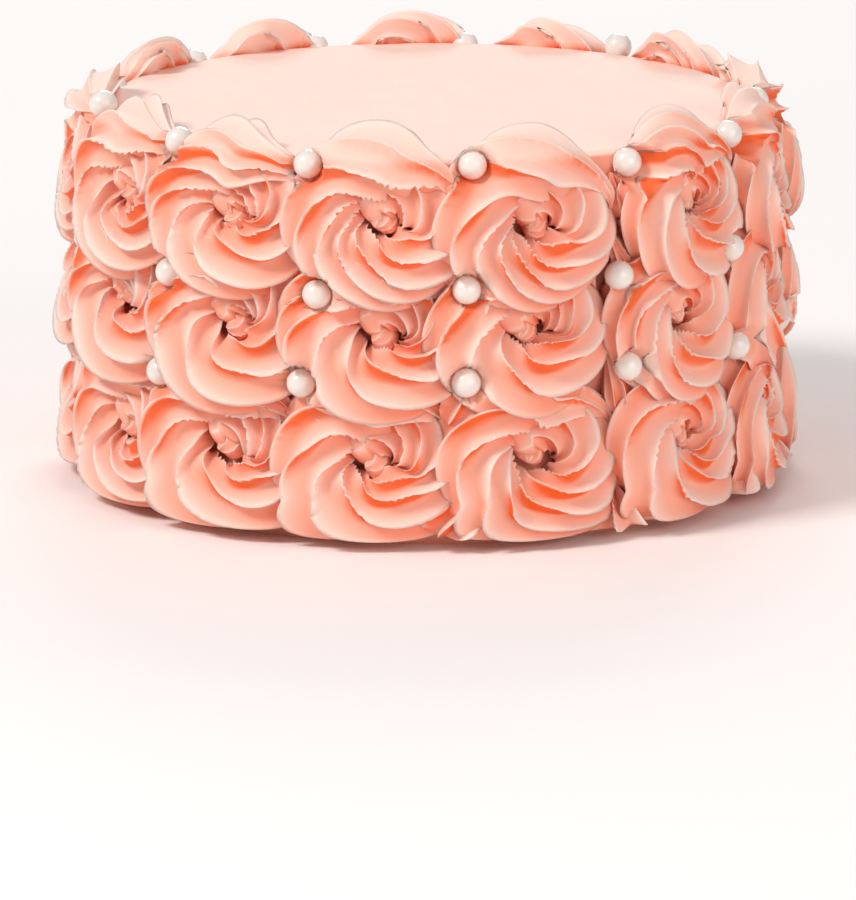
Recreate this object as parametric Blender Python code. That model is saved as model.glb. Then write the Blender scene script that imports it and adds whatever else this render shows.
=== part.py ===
"""A round iced cake whose whole side is covered by three rows of piped rosettes,
with sugar pearls pressed into the corners between them.

Units are metres and +Z is up.  The cake stands on Z = 0, its axis is the Z axis,
and the side that the photograph shows faces -Y.

The sponge, its flat iced top and the piped rosettes are one body: the rosettes
are piped straight on the icing and can't come off it.  Every pearl is its own
piece.  The swirls are worked out here from the sizes below.
"""
import math
import random

import bmesh
import bpy

# The cake under its rosettes
BODY_RADIUS = 0.0790           # smooth icing behind the rosettes
TOP_HEIGHT = 0.0930            # flat iced top above the base
EDGE_ROUND = 0.0015            # soft edge where side and top icing meet
BODY_SIDES = 52                # faces round the smooth icing

# Rows of rosettes, from the base up
PER_ROW = 13                   # rosettes in a row
ROW_HEIGHTS = (0.0222, 0.0530, 0.0797)    # middle of each row
ROW_RADII = (0.0216, 0.0220, 0.0208)      # half the height of a rosette
ROW_WIDEN = 1.09               # a rosette is a little wider than it is high
FIRST_TURN = math.radians(-6.8)           # azimuth of the rosette nearest the front
COLUMN_TURN = 2.0 * math.pi / PER_ROW
# Degrees by which the rosettes that can be seen stray from even spacing
ROW_STRAY = (
    {-3: 3.0, -2: 6.0, -1: 2.3, 0: 0.0, 1: -1.1, 2: -1.0, 3: -1.5},
    {-3: 2.5, -2: 5.0, -1: 4.0, 0: 1.5, 1: -3.0, 2: -1.0, 3: -0.5},
    {-3: 3.0, -2: 6.0, -1: 3.5, 0: 1.5, 1: -1.6, 2: 1.0, 3: 1.5},
)

# One piped rosette
LOBES = 8                      # teeth of the piping tip, so ridges in a swirl
SWIRL_TURN = math.radians(205.0)          # how far a ridge winds from centre to rim
RINGS = (0.20, 0.44, 0.68, 0.91)          # rings of points, as parts of the radius
DOME = 0.0108                  # highest ring of the swirl above the smooth icing
HOLLOW = 0.0042                # how much lower the middle of the swirl is
DOME_AT = 0.50                 # where the swirl is highest, as a part of the radius
GROOVE = 0.0034                # ridge to valley, where it is deepest
RIM_RISE = 0.0036              # height of the widest line above the smooth icing
RIM_SCALLOP = 0.0016           # how far the valleys notch the outline
BACK_SINK = 0.0022             # depth that a rosette's back sinks into the icing
SWIRL_LEFT = 0.0042            # the swirl's middle lies left of the outline's middle
SWIRL_UP = 0.0013              # and a little above it
LEAN_LEFT = 0.0018             # left edge stands proud: piped over its neighbour
LEAN_DOWN = 0.0018             # bottom edge stands proud: piped over the row below
RIM_LEAN_FROM = 0.0880         # above this height the icing leans in over the rim
RIM_LEAN = 24.0                # by this times the square of the height above it

# Sugar pearls
PEARL_RADIUS = 0.0035
SOCKET_GAP = 0.0004            # clear space between a pearl and the icing
PEARL_FIRST = math.radians(7.1)
PEARL_LINES = (
    # name, height, distance from the axis
    ("low", 0.0402, 0.0860),
    ("mid", 0.0625, 0.0856),
    ("rim", 0.0920, 0.0805),
)
# Degrees and millimetres by which the pearls that can be seen stray
PEARL_STRAY = {
    "low": {-2: (0.2, -2.8), -1: (0.2, -0.5), 0: (-1.1, 0.6), 1: (-1.3, 1.5),
            2: (-2.7, 0.3), 3: (-3.0, -1.5)},
    "mid": {-2: (2.3, -0.5), -1: (2.8, -1.2), 0: (-1.0, 0.6), 1: (-2.9, 1.5),
            2: (-4.5, 2.6), 3: (-3.0, -1.0)},
    "rim": {-3: (-4.0, 2.2), -2: (1.0, 0.8), -1: (0.1, -0.7), 0: (0.3, -0.1),
            1: (1.0, -2.2), 2: (1.4, -1.2), 4: (-9.0, 2.6), 5: (-2.6, 2.4)},
}

MOST_FACES = 6780              # triangles kept before the pearls' sockets are cut

SEED = 20

# Colours, linear
ICING_COLOUR = (0.956, 0.515, 0.385, 1.0)
PEARL_COLOUR = (0.80, 0.76, 0.70, 1.0)


def clear_scene():
    for obj in list(bpy.data.objects):
        bpy.data.objects.remove(obj, do_unlink=True)


def make_material(name, colour, roughness, metallic):
    mat = bpy.data.materials.new(name)
    mat.use_nodes = True
    shader = mat.node_tree.nodes["Principled BSDF"]
    shader.inputs["Base Color"].default_value = colour
    shader.inputs["Roughness"].default_value = roughness
    shader.inputs["Metallic"].default_value = metallic
    mat.diffuse_color = colour
    return mat


def mesh_object(name, points, faces):
    mesh = bpy.data.meshes.new(name)
    mesh.from_pydata(points, [], faces)
    mesh.update()
    obj = bpy.data.objects.new(name, mesh)
    bpy.context.scene.collection.objects.link(obj)
    return obj


def body_points():
    """The smooth iced cake, as rings from the base up."""
    rings = (
        (0.0, BODY_RADIUS),
        (TOP_HEIGHT - EDGE_ROUND, BODY_RADIUS),
        (TOP_HEIGHT, BODY_RADIUS - EDGE_ROUND),
    )
    points = []
    for height, radius in rings:
        for i in range(BODY_SIDES):
            turn = 2.0 * math.pi * i / BODY_SIDES
            points.append((radius * math.sin(turn), -radius * math.cos(turn), height))
    faces = []
    for ring in range(len(rings) - 1):
        for i in range(BODY_SIDES):
            j = (i + 1) % BODY_SIDES
            a = ring * BODY_SIDES
            b = a + BODY_SIDES
            faces.append((a + i, a + j, b + j, b + i))
    last = (len(rings) - 1) * BODY_SIDES
    faces.append(tuple(reversed(range(BODY_SIDES))))
    faces.append(tuple(last + i for i in range(BODY_SIDES)))
    return points, faces


def swirl_height(part):
    """Height of the swirl over the smooth icing, at a part of its radius."""
    if part < DOME_AT:
        return DOME - HOLLOW * (1.0 - part / DOME_AT) ** 2
    out = (part - DOME_AT) / (1.0 - DOME_AT)
    return RIM_RISE + (DOME - RIM_RISE) * math.sqrt(max(0.0, 1.0 - out ** 2.6))


def rosette_points(azimuth, height, radius, spin, size, floor):
    """One rosette as a closed solid, wrapped round the cake.

    Lines of points wind out from the middle, ridge and valley by turns, so the
    edges of the faces follow the ridges that the piping tip draws.
    """
    lines = LOBES * 2
    rows = []
    for part in RINGS:
        ring = []
        turn = spin + SWIRL_TURN * part ** 0.85
        reach = radius * part
        ease = part * part * (3.0 - 2.0 * part)
        mid_x = -SWIRL_LEFT * (1.0 - ease)
        mid_y = SWIRL_UP * (1.0 - ease)
        groove = GROOVE * min(1.0, 0.25 + 1.5 * part)
        for k in range(lines):
            valley = k % 2
            angle = turn + math.pi * k / LOBES
            grow = reach - valley * RIM_SCALLOP * part ** 3
            x = mid_x + grow * math.cos(angle)
            y = mid_y + grow * math.sin(angle)
            up = size * swirl_height(part) - valley * groove
            ring.append((x, y, up))
        rows.append(ring)
    for part, rise in ((1.0, RIM_RISE), (0.86, -BACK_SINK)):
        ring = []
        turn = spin + SWIRL_TURN
        for k in range(lines):
            angle = turn + math.pi * k / LOBES
            grow = radius * part - (k % 2) * RIM_SCALLOP * part
            ring.append((grow * math.cos(angle), grow * math.sin(angle), rise))
        rows.append(ring)

    flat = [(-SWIRL_LEFT, SWIRL_UP, size * (DOME - HOLLOW))]
    for ring in rows:
        flat.extend(ring)
    flat.append((0.0, 0.0, -BACK_SINK))

    points = []
    for x, y, up in flat:
        if up > 0.0:
            up -= LEAN_LEFT * x / radius + LEAN_DOWN * y / radius
        turn = azimuth + ROW_WIDEN * x / (BODY_RADIUS + 0.007)
        z = max(floor, height + y)
        reach = BODY_RADIUS + up - RIM_LEAN * max(0.0, z - RIM_LEAN_FROM) ** 2
        points.append((reach * math.sin(turn), -reach * math.cos(turn), z))

    faces = []
    for k in range(lines):
        faces.append((0, 1 + k, 1 + (k + 1) % lines))
    for r in range(len(rows) - 1):
        a = 1 + r * lines
        b = a + lines
        for k in range(lines):
            j = (k + 1) % lines
            if k % 2 == 0:
                faces.append((a + k, b + k, b + j))
                faces.append((a + k, b + j, a + j))
            else:
                faces.append((a + k, b + k, a + j))
                faces.append((b + k, b + j, a + j))
    last = len(points) - 1
    a = 1 + (len(rows) - 1) * lines
    for k in range(lines):
        faces.append((a + k, last, a + (k + 1) % lines))
    return points, faces


def rosette_places():
    """Azimuth, height, radius, spin and size of every rosette, row by row."""
    rng = random.Random(SEED)
    places = []
    for row in range(len(ROW_HEIGHTS)):
        for k in range(PER_ROW):
            near = k if k <= PER_ROW // 2 else k - PER_ROW
            stray = ROW_STRAY[row].get(near, rng.uniform(-0.8, 1.2))
            azimuth = FIRST_TURN + near * COLUMN_TURN + math.radians(stray)
            height = ROW_HEIGHTS[row] + rng.uniform(-0.0006, 0.0006)
            radius = ROW_RADII[row] * rng.uniform(0.975, 1.025)
            spin = rng.uniform(0.0, 2.0 * math.pi / LOBES)
            size = rng.uniform(0.94, 1.06)
            places.append((azimuth, height, radius, spin, size))
    return places


def pearl_places():
    """Name and centre of every pearl."""
    rng = random.Random(SEED + 1)
    places = []
    for line, height, reach in PEARL_LINES:
        for k in range(PER_ROW):
            near = k if k <= PER_ROW // 2 else k - PER_ROW
            spare = (rng.uniform(-2.0, 2.0), rng.uniform(-0.8, 0.8))
            turn, up = PEARL_STRAY[line].get(near, spare)
            azimuth = PEARL_FIRST + near * COLUMN_TURN + math.radians(turn)
            x = reach * math.sin(azimuth)
            y = -reach * math.cos(azimuth)
            places.append((f"pearl_{line}_{k + 1:02d}", (x, y, height + up * 0.001)))
    return places


def sphere_object(name, radius, centre, detail):
    mesh = bpy.data.meshes.new(name)
    shape = bmesh.new()
    bmesh.ops.create_icosphere(shape, subdivisions=detail, radius=radius)
    shape.to_mesh(mesh)
    shape.free()
    obj = bpy.data.objects.new(name, mesh)
    obj.location = centre
    bpy.context.scene.collection.objects.link(obj)
    return obj


def helper_collection(name, objects):
    group = bpy.data.collections.new(name)
    bpy.context.scene.collection.children.link(group)
    for obj in objects:
        for home in list(obj.users_collection):
            home.objects.unlink(obj)
        group.objects.link(obj)
        obj.hide_render = True
        obj.display_type = "WIRE"
    return group


def fuse(obj, group, operation):
    """Join a collection to an object, or cut it away, and drop the helpers."""
    modifier = obj.modifiers.new(operation.lower(), "BOOLEAN")
    modifier.operation = operation
    modifier.operand_type = "COLLECTION"
    modifier.collection = group
    modifier.solver = "EXACT"
    modifier.use_self = True
    bpy.context.view_layer.update()
    graph = bpy.context.evaluated_depsgraph_get()
    result = bpy.data.meshes.new_from_object(obj.evaluated_get(graph))
    obj.modifiers.clear()
    obj.data = result
    for helper in list(group.objects):
        bpy.data.objects.remove(helper, do_unlink=True)
    bpy.data.collections.remove(group)


def thin_out(obj, most):
    """Merge the scraps that the joins leave behind, down to so many triangles."""
    count = sum(len(face.vertices) - 2 for face in obj.data.polygons)
    modifier = obj.modifiers.new("thin_out", "DECIMATE")
    modifier.decimate_type = "COLLAPSE"
    modifier.ratio = min(1.0, most / count)
    modifier.use_collapse_triangulate = True
    bpy.context.view_layer.update()
    graph = bpy.context.evaluated_depsgraph_get()
    result = bpy.data.meshes.new_from_object(obj.evaluated_get(graph))
    obj.modifiers.clear()
    obj.data = result


def keep_largest_shell(obj):
    """Weld points that fell together and drop any loose scrap of icing."""
    shape = bmesh.new()
    shape.from_mesh(obj.data)
    bmesh.ops.remove_doubles(shape, verts=shape.verts, dist=0.000002)
    bmesh.ops.triangulate(shape, faces=shape.faces)
    seen = set()
    shells = []
    for start in shape.faces:
        if start in seen:
            continue
        shell = []
        stack = [start]
        seen.add(start)
        while stack:
            face = stack.pop()
            shell.append(face)
            for edge in face.edges:
                for other in edge.link_faces:
                    if other not in seen:
                        seen.add(other)
                        stack.append(other)
        shells.append(shell)
    shells.sort(key=len)
    for shell in shells[:-1]:
        bmesh.ops.delete(shape, geom=shell, context="FACES")
    bmesh.ops.recalc_face_normals(shape, faces=shape.faces)
    shape.to_mesh(obj.data)
    shape.free()


def main():
    clear_scene()
    icing = make_material("peach_buttercream", ICING_COLOUR, 0.55, 0.0)
    pearl = make_material("sugar_pearl", PEARL_COLOUR, 0.30, 0.0)

    cake = mesh_object("iced_cake", *body_points())
    rosettes = []
    for number, place in enumerate(rosette_places()):
        points, faces = rosette_points(*place, floor=0.0002)
        rosettes.append(mesh_object(f"piped_rosette_{number + 1:02d}", points, faces))
    fuse(cake, helper_collection("piped_rosettes", rosettes), "UNION")
    keep_largest_shell(cake)
    thin_out(cake, MOST_FACES)

    sockets = []
    pearls = []
    for name, centre in pearl_places():
        pearls.append(sphere_object(name, PEARL_RADIUS, centre, 2))
        wide = (PEARL_RADIUS + SOCKET_GAP) * 1.06
        sockets.append(sphere_object(f"socket_{name}", wide, centre, 2))
    fuse(cake, helper_collection("pearl_sockets", sockets), "DIFFERENCE")
    keep_largest_shell(cake)

    cake.data.materials.clear()
    cake.data.materials.append(icing)
    for obj in pearls:
        obj.data.materials.append(pearl)


main()
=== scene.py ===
"""Looks of the rosette cake: an iced round cake, its side piped all over with
rosettes, and sugar pearls pressed into the corners between them.  Metres, +Z up."""
import math
import random

import bmesh
import bpy
import numpy as np
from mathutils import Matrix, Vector


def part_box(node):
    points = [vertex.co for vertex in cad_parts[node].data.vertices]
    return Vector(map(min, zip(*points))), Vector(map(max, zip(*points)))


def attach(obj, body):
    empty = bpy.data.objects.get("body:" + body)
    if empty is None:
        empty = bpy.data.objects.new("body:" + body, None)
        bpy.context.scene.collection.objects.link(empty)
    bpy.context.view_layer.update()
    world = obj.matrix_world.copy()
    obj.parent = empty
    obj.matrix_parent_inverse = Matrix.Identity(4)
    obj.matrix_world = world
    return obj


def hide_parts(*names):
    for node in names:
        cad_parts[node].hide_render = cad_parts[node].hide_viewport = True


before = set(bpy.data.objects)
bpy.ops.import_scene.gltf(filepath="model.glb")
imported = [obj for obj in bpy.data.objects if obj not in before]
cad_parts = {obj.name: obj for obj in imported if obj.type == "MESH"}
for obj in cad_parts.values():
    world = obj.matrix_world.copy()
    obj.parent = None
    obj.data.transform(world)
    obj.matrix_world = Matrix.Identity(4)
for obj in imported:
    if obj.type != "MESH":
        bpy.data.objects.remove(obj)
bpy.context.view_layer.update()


# The iced cake: filled sponge rounds under a coat of buttercream, spread with a
# palette knife.  The top stays bare and flat, so the knife's faint sweeps show
# there; the side is the ground that the rosettes are piped on.
CAKE_RADIUS = 0.0790
TOP_HEIGHT = 0.0930
EDGE_ROUND = 0.0015
KNIFE_SWEEP = 0.00022          # depth of the palette knife's sweeps
ROUND_STEPS = 176
TOP_TINT = 0.14                # place on the tint's ramp of the open top
SIDE_PAINTED_SHADE = 0.62               # and of the side, painted shade, as it lies deep between rosettes


def linear(code):
    """sRGB hex to the linear colour that a shader takes."""
    parts = [int(code[i:i + 2], 16) / 255.0 for i in (1, 3, 5)]
    light = [c / 12.92 if c <= 0.04045 else ((c + 0.055) / 1.055) ** 2.4 for c in parts]
    return (*light, 1.0)


def add_node(tree, kind, links=None, **settings):
    """A node with its settings; links is {input: (node, output)}."""
    node = tree.nodes.new(kind)
    for key, value in settings.items():
        if key.startswith("in_"):
            name = key[3:]
            socket = int(name) if name.isdigit() else name.replace("_", " ")
            node.inputs[socket].default_value = value
        else:
            setattr(node, key, value)
    for target, (source, output) in (links or {}).items():
        tree.links.new(source.outputs[output], node.inputs[target])
    return node


def new_piece(name, points, faces):
    """A smooth shaded mesh piece in the row frame, from points and faces in metres."""
    mesh = bpy.data.meshes.new(name)
    mesh.from_pydata(points, [], faces)
    mesh.polygons.foreach_set("use_smooth", [True] * len(mesh.polygons))
    mesh.update()
    piece = bpy.data.objects.new(name, mesh)
    bpy.context.scene.collection.objects.link(piece)
    return piece


def paint_points(piece, name, values):
    """Stores one number for each point of a piece, for its material to read."""
    layer = piece.data.attributes.new(name, "FLOAT", "POINT")
    layer.data.foreach_set("value", np.asarray(values, dtype=np.float32))


def buttercream():
    """Buttercream, tinted peach pink and squeezed or spread.

    It is sugar in butter, so light that bounces in a groove comes back warmer; here
    that is painted shade in the groove attribute: crests are painted creamy as a painted
    highlight, and grooves and the sides away from the light a strong orange.  The skin is
    satin, never glossy.
    """
    mat = bpy.data.materials.new("peach_buttercream")
    mat.use_nodes = True
    tree = mat.node_tree
    tree.nodes.clear()
    out = add_node(tree, "ShaderNodeOutputMaterial")
    # The groove attribute holds painted shade: 0 is the painted highlight of a crest, 1 the deepest
    # painted shade; the ramp turns it into cream to deep orange.
    depth = add_node(tree, "ShaderNodeAttribute", attribute_name="groove")
    place = add_node(tree, "ShaderNodeTexCoord")
    # Tint that didn't mix in evenly drifts over about 30 mm.
    drift = add_node(tree, "ShaderNodeTexNoise", {"Vector": (place, "Object")},
                     in_Scale=1.0 / 0.030, in_Detail=2.0, in_Roughness=0.5)
    painted_shade_tone = add_node(tree, "ShaderNodeValToRGB", {"Fac": (depth, "Fac")})
    ramp = painted_shade_tone.color_ramp
    ramp.elements[0].position = 0.0
    ramp.elements[0].color = linear("#FFE3D8")
    ramp.elements[1].position = 1.0
    ramp.elements[1].color = linear("#F06C3A")
    for at, code in ((0.13, "#FDDBCE"), (0.30, "#FACCBC"), (0.60, "#F7A990")):
        stop = ramp.elements.new(at)
        stop.color = linear(code)
    shift = add_node(tree, "ShaderNodeMapRange", {"Value": (drift, "Fac")},
                     in_1=0.3, in_2=0.7, in_3=0.97, in_4=1.03)
    colour = add_node(tree, "ShaderNodeHueSaturation",
                      {"Color": (painted_shade_tone, "Color"), "Saturation": (shift, "Result")})
    # Sugar grain, drawn 0.8 mm wide, coarser than the real grain so that it shows,
    # and soft dents 4 mm wide.
    grain = add_node(tree, "ShaderNodeTexNoise", {"Vector": (place, "Object")},
                     in_Scale=1.0 / 0.0008, in_Detail=3.0, in_Roughness=0.6)
    dents = add_node(tree, "ShaderNodeTexNoise", {"Vector": (place, "Object")},
                     in_Scale=1.0 / 0.004, in_Detail=2.0, in_Roughness=0.5)
    fine = add_node(tree, "ShaderNodeBump", {"Height": (grain, "Fac")},
                    in_Strength=0.10, in_Distance=0.0003)
    soft = add_node(tree, "ShaderNodeBump", {"Height": (dents, "Fac"), "Normal": (fine, "Normal")},
                    in_Strength=0.25, in_Distance=0.0006)
    shader = add_node(tree, "ShaderNodeBsdfPrincipled",
                      {"Base Color": (colour, "Color"), "Normal": (soft, "Normal")},
                      in_Roughness=0.60, in_IOR=1.46)
    shader.inputs["Subsurface Weight"].default_value = 0.4
    shader.inputs["Subsurface Radius"].default_value = (0.65, 0.60, 0.55)
    shader.inputs["Subsurface Scale"].default_value = 0.0012
    shader.inputs["Specular IOR Level"].default_value = 0.22
    tree.links.new(shader.outputs["BSDF"], out.inputs["Surface"])
    return mat


def cake_rings():
    """Lathe rings from the middle of the base, up the side, to the middle of the top."""
    rings = [(0.0, r) for r in (0.02, 0.05, 0.072, CAKE_RADIUS)]
    rings += [(z, CAKE_RADIUS) for z in np.linspace(0.004, TOP_HEIGHT - EDGE_ROUND, 20)]
    for step in (30, 60, 90):
        turn = math.radians(step)
        z = TOP_HEIGHT - EDGE_ROUND * (1 - math.sin(turn))
        rings.append((z, CAKE_RADIUS - EDGE_ROUND * (1 - math.cos(turn))))
    rings += [(TOP_HEIGHT, r) for r in np.linspace(CAKE_RADIUS - EDGE_ROUND - 0.002, 0.002, 40)]
    return rings


def knife_marks(x, y):
    """Height of the faint arcs that a palette knife leaves on the flat top."""
    height = 0.0
    for turn, far, wide, deep in ((0.4, 0.11, 0.013, 1.0), (1.9, 0.15, 0.019, 0.8),
                                  (3.3, 0.13, 0.011, 0.6), (4.6, 0.16, 0.023, 0.9)):
        reach = math.hypot(x - far * math.cos(turn), y - far * math.sin(turn))
        height += deep * math.sin(2.0 * math.pi * reach / wide)
    return KNIFE_SWEEP * height / 3.3


def iced_cake():
    """The coat of icing: a lathed drum with the knife's marks on its top."""
    rings = cake_rings()
    points = []
    for z, r in rings:
        for i in range(ROUND_STEPS):
            turn = 2.0 * math.pi * i / ROUND_STEPS
            x, y = r * math.sin(turn), -r * math.cos(turn)
            lift = knife_marks(x, y) if z >= TOP_HEIGHT and r < CAKE_RADIUS - 0.003 else 0.0
            points.append((x, y, z + lift))
    faces = []
    for k in range(len(rings) - 1):
        a, b = k * ROUND_STEPS, (k + 1) * ROUND_STEPS
        for i in range(ROUND_STEPS):
            j = (i + 1) % ROUND_STEPS
            faces.append((a + i, a + j, b + j, b + i))
    last = (len(rings) - 1) * ROUND_STEPS
    faces.append(tuple(reversed(range(ROUND_STEPS))))
    faces.append(tuple(last + i for i in range(ROUND_STEPS)))
    piece = new_piece("iced_cake_ground", points, faces)
    # Painted shade: the side is set deep on the ramp, darker than the open top, as it lies in shade
    # between rosettes.
    ground_tint_and_shade = [TOP_TINT if p[2] > TOP_HEIGHT - 0.001 else SIDE_PAINTED_SHADE for p in points]
    paint_points(piece, "groove", ground_tint_and_shade)
    return piece


cream = buttercream()
ground = iced_cake()
ground.data.materials.append(cream)
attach(ground, "root")
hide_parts("iced_cake")


# The rosettes: stiff buttercream pressed through an open star tip held square to
# the side.  Each starts as a blob in its eye, runs a turn and a quarter round it and
# is pulled off; the tip never turns, so its teeth leave ridges that wind outward.
PER_ROW = 13
ROW_HEIGHTS = (0.0222, 0.0530, 0.0797)
ROW_RADII = (0.0216, 0.0220, 0.0208)
ROW_WIDEN = 1.09               # a rosette is a little wider than it is high
SWIRL_OUT = 0.0070             # and its width is measured this far off the cake
FIRST_TURN = math.radians(-6.8)
COLUMN_TURN = 2.0 * math.pi / PER_ROW
# Degrees by which the rosettes near the front stray from even spacing.
ROW_STRAY = (
    {-3: 3.0, -2: 6.0, -1: 2.3, 0: 0.0, 1: -1.1, 2: -1.0, 3: -1.5},
    {-3: 2.5, -2: 5.0, -1: 4.0, 0: 1.5, 1: -3.0, 2: -1.0, 3: -0.5},
    {-3: 3.0, -2: 6.0, -1: 3.5, 0: 1.5, 1: -1.6, 2: 1.0, 3: 1.5},
)
SEED = 20
LOBES = 8                      # teeth of the tip
ROPE_PART = 0.42               # rope's half width, as a part of the rosette's radius
EYE_LEFT = 0.15                # how far the swirl's middle sits left, as such a part
SPREAD = 1.04                  # the soft icing spreads a little past the solid's outline
ROPE_RISE = 0.0068             # rope's half height off the cake
ROPE_LIFT = 0.0040             # its middle above the smooth icing
START_WIDTH = 0.0062           # half width where it starts
START_LIFT = 0.0022            # and its middle above the smooth icing there
NOSE = 0.0042                  # length of its blunt start
START_REACH = 0.26             # its first distance from the eye, as a part of the ring
TOOTH_DEPTH = 0.48             # how far the valleys reach into the rope
TOOTH_SHARP = 0.60             # under 1 thins the crests and widens the valleys
TURN_START = math.radians(115.0)
TURN_TOTAL = math.radians(462.0)
GROW_TURN = math.radians(135.0)    # the rope has its full width after this turn
OPEN_TURN = math.radians(140.0)    # runs on its full ring after this one
RISE_TURN = math.radians(150.0)    # and has its full height after this one
LAP_TURN = math.radians(330.0)     # from here it climbs over its own start
LAP_LENGTH = math.radians(60.0)
LAP_RISE = 0.0010
TAIL_TURN = math.radians(78.0)     # the last stretch, where the rope thins out
TAIL_RISE = 0.0012
TIP_TURN = 0.22                    # radians at the very end, where it comes to a point
KNOB_WIDTH = 0.0056            # half width of the dome in the eye
KNOB_RISE = 0.0044
KNOB_LIFT = 0.0018
KNOB_TEETH = 0.04              # its teeth hardly show
KNOB_BEND = 0.0006             # radius of the hook that it turns through
KNOB_STEPS = 13
NOSE_STEPS = 6
STEPS = 140
LOBE_STEPS = (0.0, 0.04, 0.14, 0.30, 0.50, 0.70, 0.86, 0.96)
TOOTH_UNEVEN = 0.24            # by which part the teeth on one side are wider
TEAR_LENGTH = 0.0019           # spacing of the torn nicks along a crest
TEAR_DEPTH = 0.00085
CREST_WIDTH = 0.05             # how far a nick reaches down from the crest, in teeth
HAND_ROLL = 0.16               # radians by which the hand rolls the tip to and fro
LIGHT_LEFT, LIGHT_UP = 0.55, 0.83      # where the photo's light comes from
OFF_CREST_PAINTED_SHADE = 0.17              # places on the tint's ramp, all painted shade: off the crest, which leaves each crest a painted highlight
GROOVE_PAINTED_SHADE = 0.22             # in a valley, where shade falls
LOW_PAINTED_SHADE = 0.50                # close to the cake, below LOW_BELOW, where shade falls
LOW_BELOW = 0.0105
LEE_PAINTED_SHADOW = 0.95                # painted shadow under a crest, away from the light
AWAY_PAINTED_SHADE = 0.30              # painted shade on the side of the rope that is away from the light
LEAN_LEFT = 0.0026             # left and lower edges stand proud of the neighbours
LEAN_DOWN = 0.0030
RIM_LEAN_FROM = 0.0880         # above this height the icing leans in over the rim
RIM_LEAN = 24.0
SQUASH_BELOW = 0.0060          # below this height the icing is squashed on the base
FLOOR_GAP = 0.0002
BASE_SPREAD = 0.45             # by which part the lowest icing is spread wider
PEARL_SEAT = 0.0039            # radius of the flat that a pearl presses into the icing
PEARL_SLOPE = 3.5              # how steeply the icing rises round that flat
PEARL_SINK = 0.0006            # that flat lies this much behind the pearl's middle
OUTER_FULL = 0.78              # under 1 makes the outer side of a rope fuller
EDGE_TEETH = 0.45              # what is left of the teeth at the sides of a rope


def smooth_step(x):
    """Eases from 0 to 1 as x goes from 0 to 1."""
    x = np.clip(x, 0.0, 1.0)
    return x * x * (3.0 - 2.0 * x)


def unsteady(along, spacing, rng):
    """A hand's slow swing between -1 and 1 along the rope, from a random start."""
    return np.sin(along / spacing + rng.uniform(0, 6.3))


def pearl_seats():
    """Azimuth, height and distance from the axis of every pearl."""
    seats = []
    for name in sorted(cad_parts):
        if name.startswith("pearl_"):
            low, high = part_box(name)
            x, y, z = (low + high) / 2.0
            seats.append((math.atan2(x, -y), z, math.hypot(x, y)))
    return seats


def rosette_places():
    """Row, azimuth, height, radius, spin and size of every rosette."""
    rng = random.Random(SEED)
    places = []
    for row in range(len(ROW_HEIGHTS)):
        for k in range(PER_ROW):
            near = k if k <= PER_ROW // 2 else k - PER_ROW
            stray = ROW_STRAY[row].get(near, rng.uniform(-0.8, 1.2))
            azimuth = FIRST_TURN + near * COLUMN_TURN + math.radians(stray)
            height = ROW_HEIGHTS[row] + rng.uniform(-0.0006, 0.0006)
            radius = ROW_RADII[row] * rng.uniform(0.975, 1.025)
            spin = rng.uniform(0.0, 2.0 * math.pi / LOBES)
            size = rng.uniform(0.94, 1.06)
            places.append((row, azimuth, height, radius, spin, size))
    return places


def wrap_round(azimuth, height, radius, x, y, up, seats):
    """Local right, up and outward distances laid round the side of the cake.

    The icing leans in above the rim, is squashed on the base, and is pushed back
    where the pearls are pressed in.
    """
    lean = LEAN_LEFT * x / radius + LEAN_DOWN * y / radius
    lean = np.where(up > 0.0, lean, 0.0)
    turn = azimuth + ROW_WIDEN * x / (CAKE_RADIUS + SWIRL_OUT)
    z = height + y
    low = np.clip((2.0 * SQUASH_BELOW - z) / (2.0 * SQUASH_BELOW), 0.0, 1.0)
    turn = turn + ROW_WIDEN * x / CAKE_RADIUS * BASE_SPREAD * low
    squashed = SQUASH_BELOW * np.exp(np.minimum(z / SQUASH_BELOW - 1.0, 0.0))
    z = np.maximum(np.where(z < SQUASH_BELOW, squashed, z), FLOOR_GAP)
    reach = CAKE_RADIUS + up - lean - RIM_LEAN * np.maximum(z - RIM_LEAN_FROM, 0.0) ** 2
    for pearl_turn, pearl_height, pearl_reach in seats:
        gap = (turn - pearl_turn + math.pi) % (2.0 * math.pi) - math.pi
        away = np.hypot(gap * pearl_reach, z - pearl_height)
        seat = pearl_reach - PEARL_SINK + PEARL_SLOPE * np.maximum(away - PEARL_SEAT, 0.0)
        reach = np.minimum(reach, seat)
    return np.stack([reach * np.sin(turn), -reach * np.cos(turn), z], axis=-1)


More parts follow.
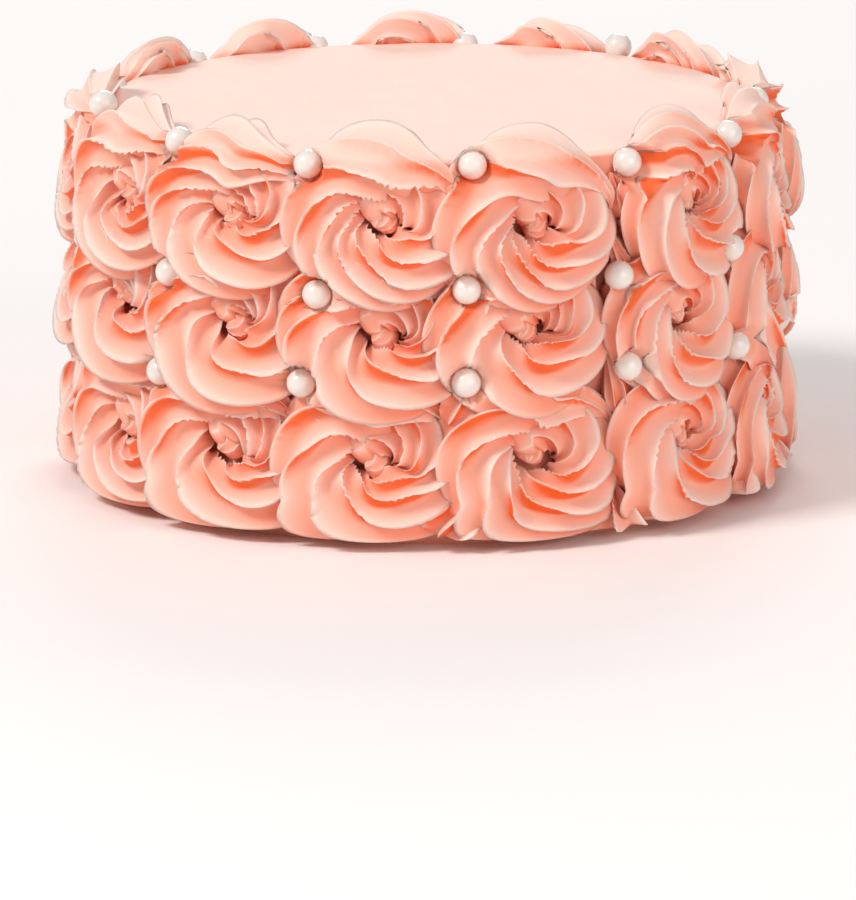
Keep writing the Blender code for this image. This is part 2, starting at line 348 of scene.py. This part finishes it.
def rosette_path(radius, size, rng):
    """Middle line, half width, half height, lift and tooth depth of a rosette's rope."""
    tau = np.linspace(0.0, 1.0, STEPS - NOSE_STEPS) ** 0.92 * TURN_TOTAL
    around = TURN_START + rng.uniform(-0.2, 0.2) - tau
    rope = radius * ROPE_PART * rng.uniform(0.97, 1.03)
    ring = radius - rope
    grown = smooth_step(tau / GROW_TURN)
    tail = smooth_step((tau - TURN_TOTAL + TAIL_TURN) / TAIL_TURN)
    tip = smooth_step((tau - TURN_TOTAL + TIP_TURN) / TIP_TURN)
    width = START_WIDTH + (rope - START_WIDTH) * grown
    width *= (1.0 - 0.82 * tail) * (1.0 - 0.85 * tip)
    waver = 0.02 * unsteady(around, 1.0 / 2.0, rng) + 0.012 * unsteady(around, 1.0 / 5.0, rng)
    opening = START_REACH + (1.0 - START_REACH) * smooth_step(tau / OPEN_TURN)
    reach = ring * opening * (1.0 + waver * grown)
    reach += tail * 0.95 * (rope - width) * (1.0 - 0.2 * tip)
    x = reach * np.cos(around)
    y = reach * np.sin(around)

    # The nose of the starting blob, straight back from the first step.
    back = np.linspace(0.0, 1.0, NOSE_STEPS + 1)[:-1] * 0.97 + 0.03
    heading = np.array([x[1] - x[0], y[1] - y[0]])
    heading /= np.hypot(*heading)
    x = np.concatenate([x[0] - heading[0] * NOSE * (1.0 - back), x])
    y = np.concatenate([y[0] - heading[1] * NOSE * (1.0 - back), y])
    width = np.concatenate([START_WIDTH * np.sqrt(1.0 - (1.0 - back) ** 2), width])
    tau = np.concatenate([np.zeros(NOSE_STEPS), tau])
    tail = np.concatenate([np.zeros(NOSE_STEPS), tail])

    rise = ROPE_RISE * size * (width / rope) ** 0.75
    lift = START_LIFT + (ROPE_LIFT * size - START_LIFT) * smooth_step(tau / RISE_TURN)
    lift += LAP_RISE * smooth_step((tau - LAP_TURN) / LAP_LENGTH) + TAIL_RISE * tail
    depth = TOOTH_DEPTH * (0.12 + 0.88 * smooth_step((tau - 0.1) / 0.9))
    return x - EYE_LEFT * radius, y, width, rise, lift, depth


def eye_knob(radius, size, rng):
    """The first squeeze: a small dome that fills the eye, in the form of a path."""
    part = np.linspace(0.0, 1.0, KNOB_STEPS)
    turn = rng.uniform(1.6, 2.8) - part * math.radians(190.0)
    x = KNOB_BEND * np.cos(turn) - EYE_LEFT * radius - rng.uniform(0.0014, 0.0022)
    y = KNOB_BEND * np.sin(turn) - rng.uniform(0.0018, 0.0026)
    width = KNOB_WIDTH * np.sqrt(np.maximum(1.0 - (2.0 * part - 1.0) ** 2, 0.002))
    rise = KNOB_RISE * size * (width / KNOB_WIDTH) ** 0.8
    return x, y, width, rise, np.full(KNOB_STEPS, KNOB_LIFT), np.full(KNOB_STEPS, KNOB_TEETH)


def star_rope(path, azimuth, height, radius, spin, size, seats, rng):
    """Points, painted shade values and faces of a closed rope squeezed from the star tip."""
    px, py, width, rise, lift, depth = path
    steps = len(px)
    phase = np.tile(LOBE_STEPS, LOBES)
    lobe_number = np.repeat(np.arange(LOBES), len(LOBE_STEPS))
    tooth = 2.0 * math.pi / LOBES * (lobe_number + phase)
    tooth = tooth + TOOTH_UNEVEN * np.sin(tooth - rng.uniform(0, 6.3))
    across = len(tooth)

    tx, ty = np.gradient(px), np.gradient(py)
    step = np.hypot(tx, ty)
    nx, ny = -ty / step, tx / step
    facing = np.unwrap(np.arctan2(ny, nx))
    length = np.cumsum(step)
    bend = np.abs(np.gradient(facing)) / step
    inner_width = np.minimum(width, 0.96 / np.maximum(bend, 1.0))

    roll = HAND_ROLL * unsteady(length, 0.019, rng)
    angle = tooth[None, :] + spin + roll[:, None] - facing[:, None]

    # The teeth are pressed flat at the sides.  Crests swell and sink along the
    # rope, and are nicked in patches.
    groove = np.abs(np.sin(math.pi * phase)) ** TOOTH_SHARP
    pressed = 1.0 - (1.0 - EDGE_TEETH) * np.cos(angle) ** 2
    profile = 1.0 - depth[:, None] * groove[None, :] * pressed
    slide = np.zeros((steps, across))
    near_crest = np.exp(-(np.minimum(phase, 1.0 - phase) / CREST_WIDTH) ** 2)
    whose = np.round(lobe_number + phase).astype(int) % LOBES
    for k in range(LOBES):
        mine = whose == k
        swell = 0.035 * unsteady(length, 0.013, rng) + 0.02 * unsteady(length, 0.0045, rng)
        profile[:, mine] += swell[:, None] * (1.0 - groove[None, mine])
        patch = smooth_step(1.6 * (unsteady(length, 0.010, rng) + 0.4) + 0.3)
        ragged = 0.35 * unsteady(length, 0.0031, rng)
        spacing = TEAR_LENGTH * rng.uniform(0.85, 1.15)
        beat = (length / spacing + ragged + rng.uniform(0, 1)) % 1.0
        torn = rng.uniform(0.3, 1.0, steps) * patch * np.minimum(1.0, inner_width / 0.004) ** 2
        nick = (1.0 - np.abs(2.0 * beat - 1.0)) * torn * TEAR_DEPTH
        profile[:, mine] -= (nick / np.maximum(width, 0.002))[:, None] * near_crest[None, mine]
        slide[:, mine] += nick[:, None] * near_crest[None, mine]

    side = np.cos(angle)
    outer = profile * np.abs(side) ** OUTER_FULL * width[:, None]
    side = np.where(side > 0.0, outer, side * profile * inner_width[:, None]) + slide
    up = np.maximum(lift[:, None] + rise[:, None] * profile * np.sin(angle), -0.0015)
    x = px[:, None] + side * nx[:, None]
    y = py[:, None] + side * ny[:, None]
    points = wrap_round(azimuth, height, radius, x, y, up, seats)
    # How far a point stands over the rim: there the painted shade is taken back, painted light as on
    # the lit top.
    painted_light_over_rim = smooth_step((points[..., 2] - TOP_HEIGHT + 0.001) / 0.003)
    points = points.reshape(-1, 3)
    ends = wrap_round(azimuth, height, radius, px[[0, -1]], py[[0, -1]], lift[[0, -1]], seats)
    points = np.concatenate([points, ends])

    # Painted shade: the icing is painted a deeper orange between the teeth, close to the
    # cake, as a painted shadow under each crest and on the sides away from the light, and
    # paler on each crest as a painted highlight.
    low = np.clip(1.0 - up / (LOW_BELOW * size), 0.0, 1.0) * (1.0 - painted_light_over_rim)
    span = (np.roll(tooth, -1) - np.roll(tooth, 1)) % (2.0 * math.pi)
    slope = (np.roll(profile, -1, axis=1) - np.roll(profile, 1, axis=1)) / span[None, :]
    away = (LIGHT_LEFT * nx - LIGHT_UP * ny)[:, None]
    lee_shadow_mask = np.clip(slope * np.sin(angle) * away, 0.0, 1.0)
    far_side_shade_mask = np.clip(np.cos(angle) * away, 0.0, 1.0)
    shade = OFF_CREST_PAINTED_SHADE * (1.0 - near_crest) + GROOVE_PAINTED_SHADE * groove ** 1.6 + LOW_PAINTED_SHADE * low
    shade += LEE_PAINTED_SHADOW * lee_shadow_mask ** 1.6 + AWAY_PAINTED_SHADE * far_side_shade_mask ** 2
    shade = np.clip(shade * (1.0 - 0.6 * painted_light_over_rim), 0.0, 1.0).reshape(-1)
    # The two end points carry painted shade as well.
    shade = np.concatenate([shade, [0.6, 0.3]])
    faces = []
    for j in range(steps - 1):
        a, b = j * across, (j + 1) * across
        for i in range(across):
            n = (i + 1) % across
            faces.append((a + i, a + n, b + n, b + i))
    head, tail, a = steps * across, steps * across + 1, (steps - 1) * across
    for i in range(across):
        n = (i + 1) % across
        faces.append((head, n, i))
        faces.append((tail, a + i, a + n))
    return points, shade, faces


def icing_piece(name, ropes):
    """Several ropes of icing as one piece."""
    points, shades, faces = [], [], []
    base = 0
    for rope_points, rope_shades, rope_faces in ropes:
        points.append(rope_points)
        shades.append(rope_shades)
        faces.extend([tuple(i + base for i in face) for face in rope_faces])
        base += len(rope_points)
    piece = new_piece(name, np.concatenate(points).tolist(), faces)
    # The groove attribute carries the painted shade, not a depth.
    paint_points(piece, "groove", np.concatenate(shades))
    piece.data.materials.append(cream)
    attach(piece, "root")
    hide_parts("iced_cake")
    return piece


def piped_rosette(number, place, seats):
    """The rope of one rosette and the knob in its eye."""
    _, azimuth, height, radius, spin, size = place
    rng = np.random.default_rng(SEED * 100 + number)
    path = rosette_path(radius * SPREAD, size, rng)
    rope = star_rope(path, azimuth, height, radius, spin, size, seats, rng)
    knob = eye_knob(radius, size, rng)
    return rope, star_rope(knob, azimuth, height, radius, spin, size, seats, rng)


seats = pearl_seats()
places = list(enumerate(rosette_places()))
for row, row_name in enumerate(("low", "mid", "top")):
    ropes = [piped_rosette(number, place, seats) for number, place in places if place[0] == row]
    icing_piece(f"rosettes_{row_name}_a", [rope for pair in ropes[:7] for rope in pair])
    icing_piece(f"rosettes_{row_name}_b", [rope for pair in ropes[7:] for rope in pair])


# The fillers: short strokes from the same tip, squeezed into the corners between
# rosettes so that little bare icing shows, each drawn out to a thin end.
FILL_LENGTH = 0.0150
FILL_WIDTH = 0.0052
FILL_RISE = 0.0052
FILL_BLUNT = 0.22              # part of its length that is the blunt start
FILL_SPAN = 0.022              # it leans as a rosette of this radius would
FILL_STEPS = 22
FILL_LINES = (                 # height, length, size, lift and bow, from the base up
    (0.0075, 1.0, 1.35, 0.0016, 0.0015),
    (0.0390, 1.3, 0.90, 0.0036, 0.0042),
    (0.0645, 1.3, 0.90, 0.0036, 0.0042),
    (0.0835, 0.7, 1.00, 0.0016, 0.0015),
)


def filler_path(long, tilt, bow, size, lift):
    """A stroke from below up, blunt where it starts and drawn out where it ends."""
    part = np.linspace(0.0, 1.0, FILL_STEPS)
    along = (part - 0.45) * long
    across = bow * np.sin(math.pi * part)
    x = across * math.cos(tilt) - along * math.sin(tilt)
    y = across * math.sin(tilt) + along * math.cos(tilt)
    blunt = np.clip(1.0 - (1.0 - part / FILL_BLUNT) ** 2, 0.004, 1.0) ** 0.5
    fade = np.maximum(part - FILL_BLUNT, 0.0) / (1.0 - FILL_BLUNT)
    width = FILL_WIDTH * size * np.where(fade > 0.0, 1.0 - 0.93 * fade ** 1.6, blunt)
    rise = FILL_RISE * size * (width / FILL_WIDTH) ** 0.8
    return x, y, width, rise, np.full(FILL_STEPS, lift), np.full(FILL_STEPS, TOOTH_DEPTH)


def corner_fillers(rosettes, seats):
    """Strokes midway between neighbours, in the corners and along the base."""
    rng = np.random.default_rng(SEED + 3)
    columns = [[place[1] for _, place in rosettes if place[0] == row] for row in range(3)]
    ropes = []
    for line, (height, part, bulk, lift, bow) in enumerate(FILL_LINES):
        row = min(line, 2)
        for k in range(PER_ROW):
            here, there = columns[row][k], columns[row][(k + 1) % PER_ROW]
            middle = here + ((there - here + math.pi) % (2.0 * math.pi) - math.pi) / 2.0
            size = bulk * rng.uniform(0.85, 1.2)
            long = FILL_LENGTH * part * rng.uniform(0.9, 1.2)
            tilt = rng.uniform(-0.8, 0.8)
            path = filler_path(long, tilt, rng.uniform(-bow, bow), size, lift)
            middle += rng.uniform(-0.012, 0.012)
            up = height + rng.uniform(-0.001, 0.001)
            spin = rng.uniform(0, 0.8)
            ropes.append(star_rope(path, middle, up, FILL_SPAN, spin, 1.0, seats, rng))
    return ropes


icing_piece("corner_fillers", corner_fillers(places, seats))


# The sugar pearls: hard sugar balls in a pearl coating, pressed by hand into the
# soft icing wherever four rosettes meet, and along the rim between two.
PEARL_RADIUS = 0.0035
PEARL_SPLITS = 4               # 1 is a ball of twenty faces, and each more splits them in four


def pearl_coat():
    """Pearl lustre on hard sugar: a milky ball with a soft broad sheen."""
    mat = bpy.data.materials.new("pearl_lustre_sugar")
    mat.use_nodes = True
    tree = mat.node_tree
    tree.nodes.clear()
    out = add_node(tree, "ShaderNodeOutputMaterial")
    place = add_node(tree, "ShaderNodeTexCoord")
    dust = add_node(tree, "ShaderNodeTexNoise", {"Vector": (place, "Object")},
                    in_Scale=1.0 / 0.0015, in_Detail=2.0)
    bump = add_node(tree, "ShaderNodeBump", {"Height": (dust, "Fac")},
                    in_Strength=0.08, in_Distance=0.0002)
    shader = add_node(tree, "ShaderNodeBsdfPrincipled", {"Normal": (bump, "Normal")},
                      in_Roughness=0.27, in_IOR=1.5)
    shader.inputs["Base Color"].default_value = linear("#EAE5DE")
    shader.inputs["Subsurface Weight"].default_value = 0.25
    shader.inputs["Subsurface Radius"].default_value = (1.0, 0.85, 0.7)
    shader.inputs["Subsurface Scale"].default_value = 0.0012
    shader.inputs["Coat Weight"].default_value = 0.7
    shader.inputs["Coat Roughness"].default_value = 0.16
    shader.inputs["Sheen Weight"].default_value = 0.15
    tree.links.new(shader.outputs["BSDF"], out.inputs["Surface"])
    return mat


def sugar_pearls():
    """All the pearls as one piece, each in its place and not quite round."""
    rng = random.Random(SEED + 7)
    shape = bmesh.new()
    nodes = sorted(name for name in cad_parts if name.startswith("pearl_"))
    for name in nodes:
        low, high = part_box(name)
        centre = (low + high) / 2.0
        made = bmesh.ops.create_icosphere(shape, subdivisions=PEARL_SPLITS, radius=PEARL_RADIUS)
        squash = [rng.uniform(0.985, 1.01) for _ in range(3)]
        for vert in made["verts"]:
            vert.co = Vector([c * part for c, part in zip(vert.co, squash)]) + centre
    for face in shape.faces:
        face.smooth = True
    mesh = bpy.data.meshes.new("sugar_pearls")
    shape.to_mesh(mesh)
    shape.free()
    piece = bpy.data.objects.new("sugar_pearls", mesh)
    bpy.context.scene.collection.objects.link(piece)
    piece.data.materials.append(pearl_coat())
    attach(piece, "root")
    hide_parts(*nodes)
    return piece


sugar_pearls()


# The plain stage: a pale flat floor, a soft light from the upper left, a wide soft
# light from the right, a light that whitens the floor behind, and the camera.
CAMERA_DISTANCE = 1.70
CAMERA_ELEVATION = math.radians(11.95)
PIXELS_PER_METRE = 4041.0      # at the cake's axis, 50 mm up
AIM_HEIGHT = 0.050
AIM_PIXEL = (428.0, 269.4)     # where that point lies in the picture
PICTURE_WIDE, PICTURE_HIGH = 856.0, 900.0
SENSOR = 36.0                  # millimetres, along the picture's height
FLOOR_REACH = 4.0


def stage():
    """Matt white paper, which keeps the cake's shadow soft and pale."""
    mesh = bpy.data.meshes.new("studio_floor")
    corners = [(x * FLOOR_REACH, y * FLOOR_REACH, 0.0) for x, y in ((-1, -1), (1, -1), (1, 1), (-1, 1))]
    mesh.from_pydata(corners, [], [(0, 1, 2, 3)])
    floor = bpy.data.objects.new("studio_floor", mesh)
    bpy.context.scene.collection.objects.link(floor)
    mat = bpy.data.materials.new("white_paper_floor")
    mat.use_nodes = True
    shader = mat.node_tree.nodes["Principled BSDF"]
    shader.inputs["Base Color"].default_value = linear("#FBFAF9")
    shader.inputs["Roughness"].default_value = 0.8
    mesh.materials.append(mat)


def soft_light(name, place, aim, size, power, colour):
    """A square area light at a place, aimed at a point."""
    lamp = bpy.data.lights.new(name, "AREA")
    lamp.shape = "SQUARE"
    lamp.size = size
    lamp.energy = power
    lamp.color = linear(colour)[:3]
    light = bpy.data.objects.new(name, lamp)
    light.location = place
    light.rotation_euler = (Vector(aim) - Vector(place)).to_track_quat("-Z", "Y").to_euler()
    bpy.context.scene.collection.objects.link(light)


def camera():
    """The lens that gives the photo's scale at the cake, turned a little so that
    the cake lies where the photo has it."""
    data = bpy.data.cameras.new("photo_camera")
    cam = bpy.data.objects.new("photo_camera", data)
    bpy.context.scene.collection.objects.link(cam)
    data.sensor_fit = "AUTO"
    data.sensor_width = SENSOR
    data.lens = SENSOR * CAMERA_DISTANCE * PIXELS_PER_METRE / PICTURE_HIGH
    pixels_to_turn = SENSOR / PICTURE_HIGH / data.lens
    aim = Vector((0.0, 0.0, AIM_HEIGHT))
    back = Vector((0.0, -math.cos(CAMERA_ELEVATION), math.sin(CAMERA_ELEVATION)))
    cam.location = aim + back * CAMERA_DISTANCE
    tilt = math.atan((PICTURE_HIGH / 2.0 - AIM_PIXEL[1]) * pixels_to_turn)
    pan = math.atan((AIM_PIXEL[0] - PICTURE_WIDE / 2.0) * pixels_to_turn)
    cam.rotation_euler = (math.pi / 2.0 - CAMERA_ELEVATION - tilt, 0.0, pan)
    data.clip_start, data.clip_end = 0.05, 20.0
    bpy.context.scene.camera = cam


stage()
soft_light("key_window", (-1.25, -0.85, 1.55), (0, 0, 0.05), 0.55, 28.0, "#FFFAF8")
soft_light("fill_card", (1.15, -1.45, 0.45), (0, 0, 0.05), 1.4, 15.5, "#FFF4F0")
soft_light("back_window", (0.2, 2.0, 1.2), (0, 1.2, 0), 1.2, 16.0, "#FFFDFC")
world = bpy.data.worlds.new("white_room")
world.use_nodes = True
world.node_tree.nodes["Background"].inputs["Color"].default_value = (1.0, 0.985, 0.98, 1.0)
world.node_tree.nodes["Background"].inputs["Strength"].default_value = 0.40
bpy.context.scene.world = world
bpy.context.scene.view_settings.view_transform = "Standard"
camera()
